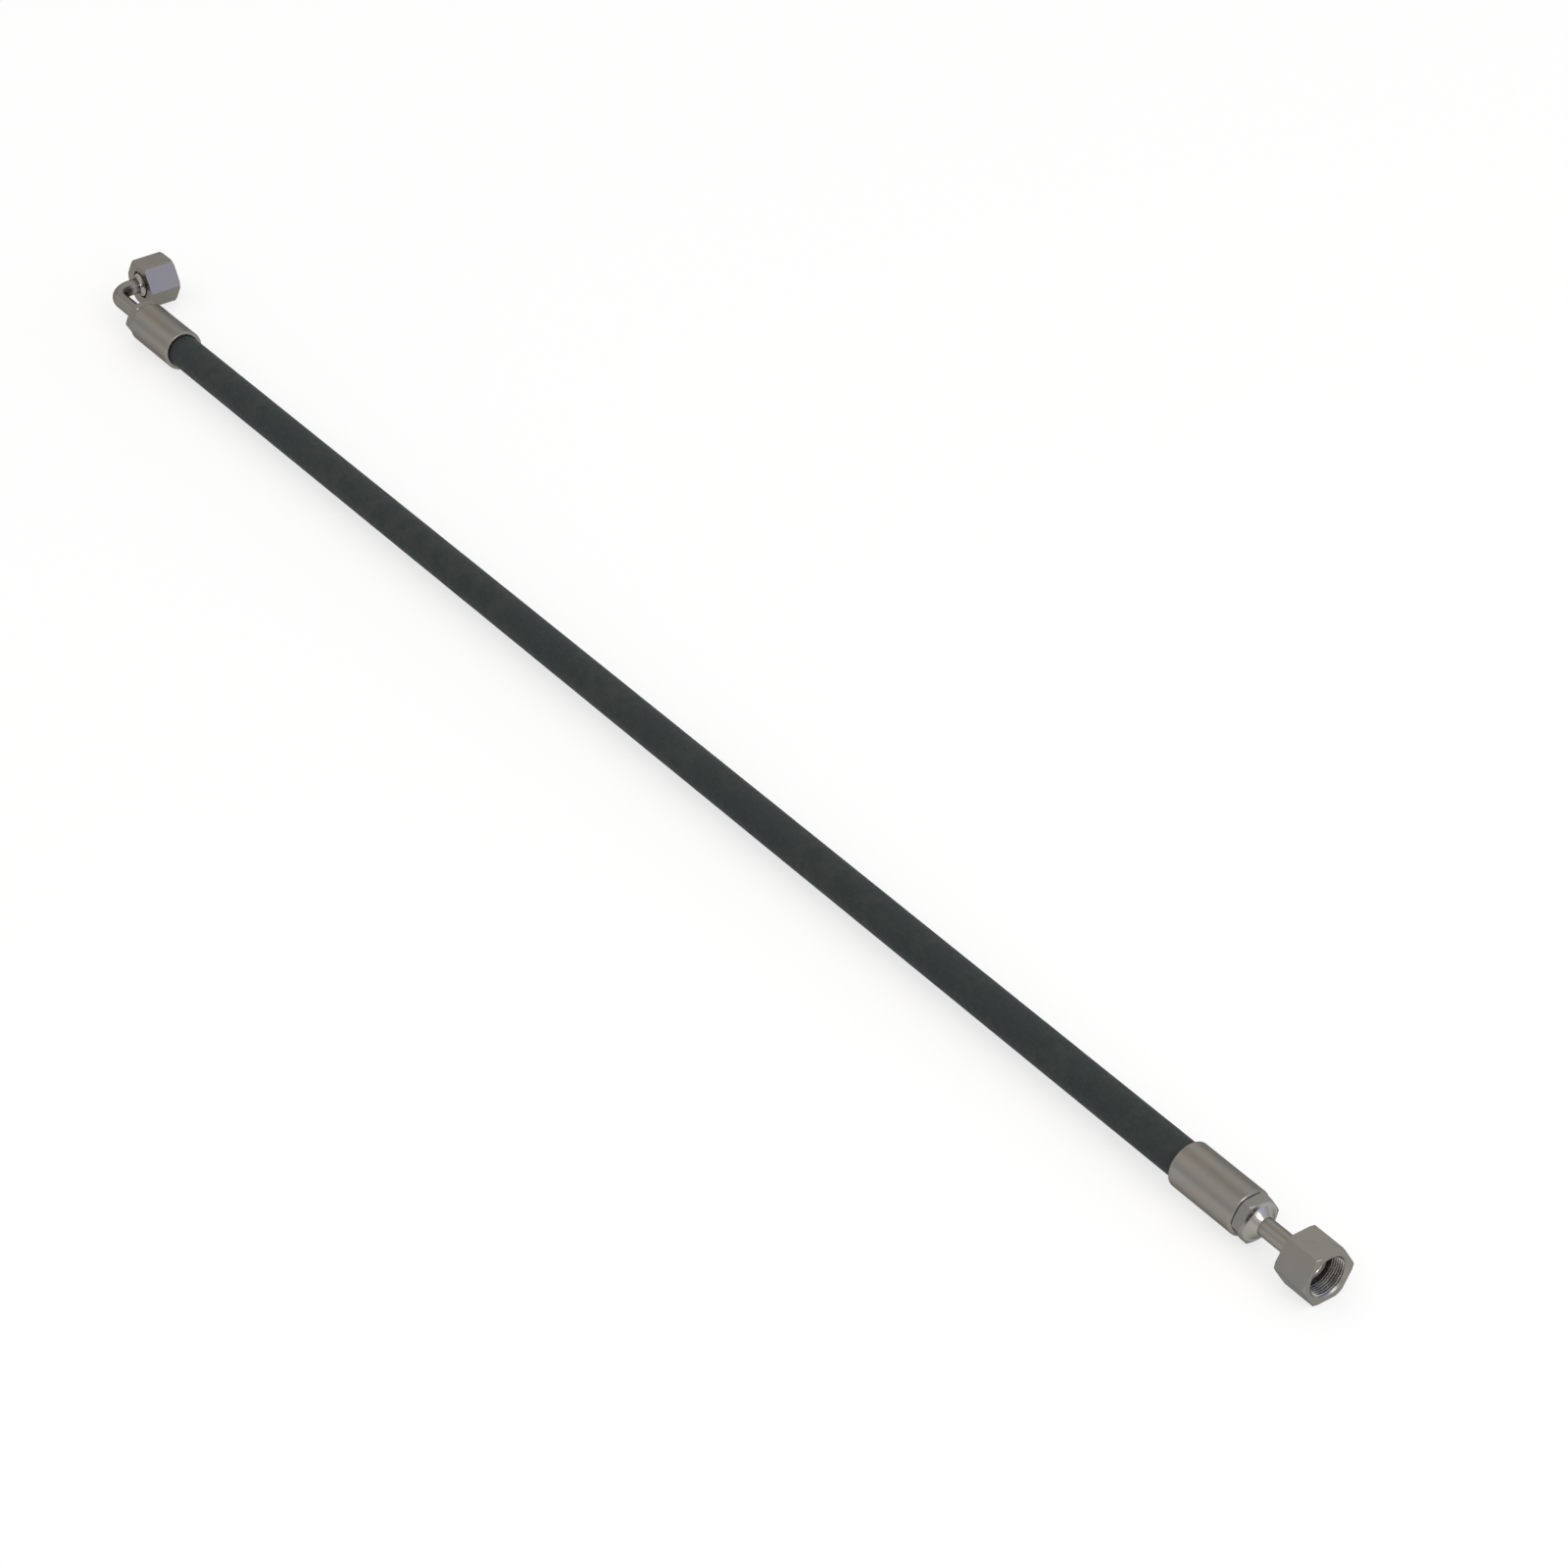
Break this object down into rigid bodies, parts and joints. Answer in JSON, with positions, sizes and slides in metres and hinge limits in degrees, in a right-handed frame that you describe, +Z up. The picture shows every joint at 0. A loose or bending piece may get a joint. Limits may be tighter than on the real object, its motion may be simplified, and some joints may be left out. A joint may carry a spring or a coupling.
{
  "type": "hydraulic hose assembly",
  "caption": "Straight wire-braided rubber hose with crimped ferrules, a straight swivel nut end and a swept right-angle swivel nut end.",
  "frame": {"origin": "on the axis of the straight swivel nut, at the plane where its thread starts", "axes": "+X along the hose and out of the straight end, +Y out of the elbow end, +Z up, square to the plane of the elbow"},
  "size_m": [1.2573, 0.0606, 0.03],
  "materials": {
    "plated_steel": "satin zinc-plated steel",
    "turned_steel": "turned and plated",
    "spring_wire": "drawn wire",
    "braid_wire": "brass-coated wire",
    "cover_rubber": "matte, wrapped finish",
    "inner_rubber": "matte",
    "seal_rubber": "smooth"
  },
  "bodies": {
    "hose_assembly": {"hose_inner_tube": "inner_rubber", "inner_wire_braid": "braid_wire", "hose_interlayer": "inner_rubber", "outer_wire_braid": "braid_wire", "hose_cover": "cover_rubber", "straight_ferrule": "plated_steel", "straight_hose_tail": "plated_steel", "straight_root_flare": "turned_steel", "straight_stem_tube": "plated_steel", "straight_neck_flare": "turned_steel", "straight_cone_head": "plated_steel", "straight_o_ring": "seal_rubber", "elbow_ferrule": "plated_steel", "elbow_hose_tail": "plated_steel", "elbow_root_flare": "turned_steel", "elbow_swept_tube": "plated_steel", "elbow_neck_flare": "turned_steel", "elbow_cone_head": "plated_steel", "elbow_o_ring": "seal_rubber"},
    "straight_ring": {"straight_thrust_ring": "spring_wire"},
    "straight_nut": {"straight_swivel_nut": "plated_steel"},
    "elbow_ring": {"elbow_thrust_ring": "spring_wire"},
    "elbow_nut": {"elbow_swivel_nut": "plated_steel"}
  },
  "joints": [
    {"name": "straight_nut_slide", "type": "slide", "parent": "hose_assembly", "child": "straight_ring", "axis": [-1, 0, 0], "range_m": [0, 0.028]},
    {"name": "straight_nut_spin", "type": "hinge", "parent": "straight_ring", "child": "straight_nut", "pos_m": [0, 0, 0], "axis": [1, 0, 0], "continuous": true},
    {"name": "elbow_nut_slide", "type": "slide", "parent": "hose_assembly", "child": "elbow_ring", "axis": [0, -1, 0], "range_m": [0, 0.012]},
    {"name": "elbow_nut_spin", "type": "hinge", "parent": "elbow_ring", "child": "elbow_nut", "pos_m": [-1.23869, 0.04199, 0], "axis": [0, 1, 0], "continuous": true}
  ]
}
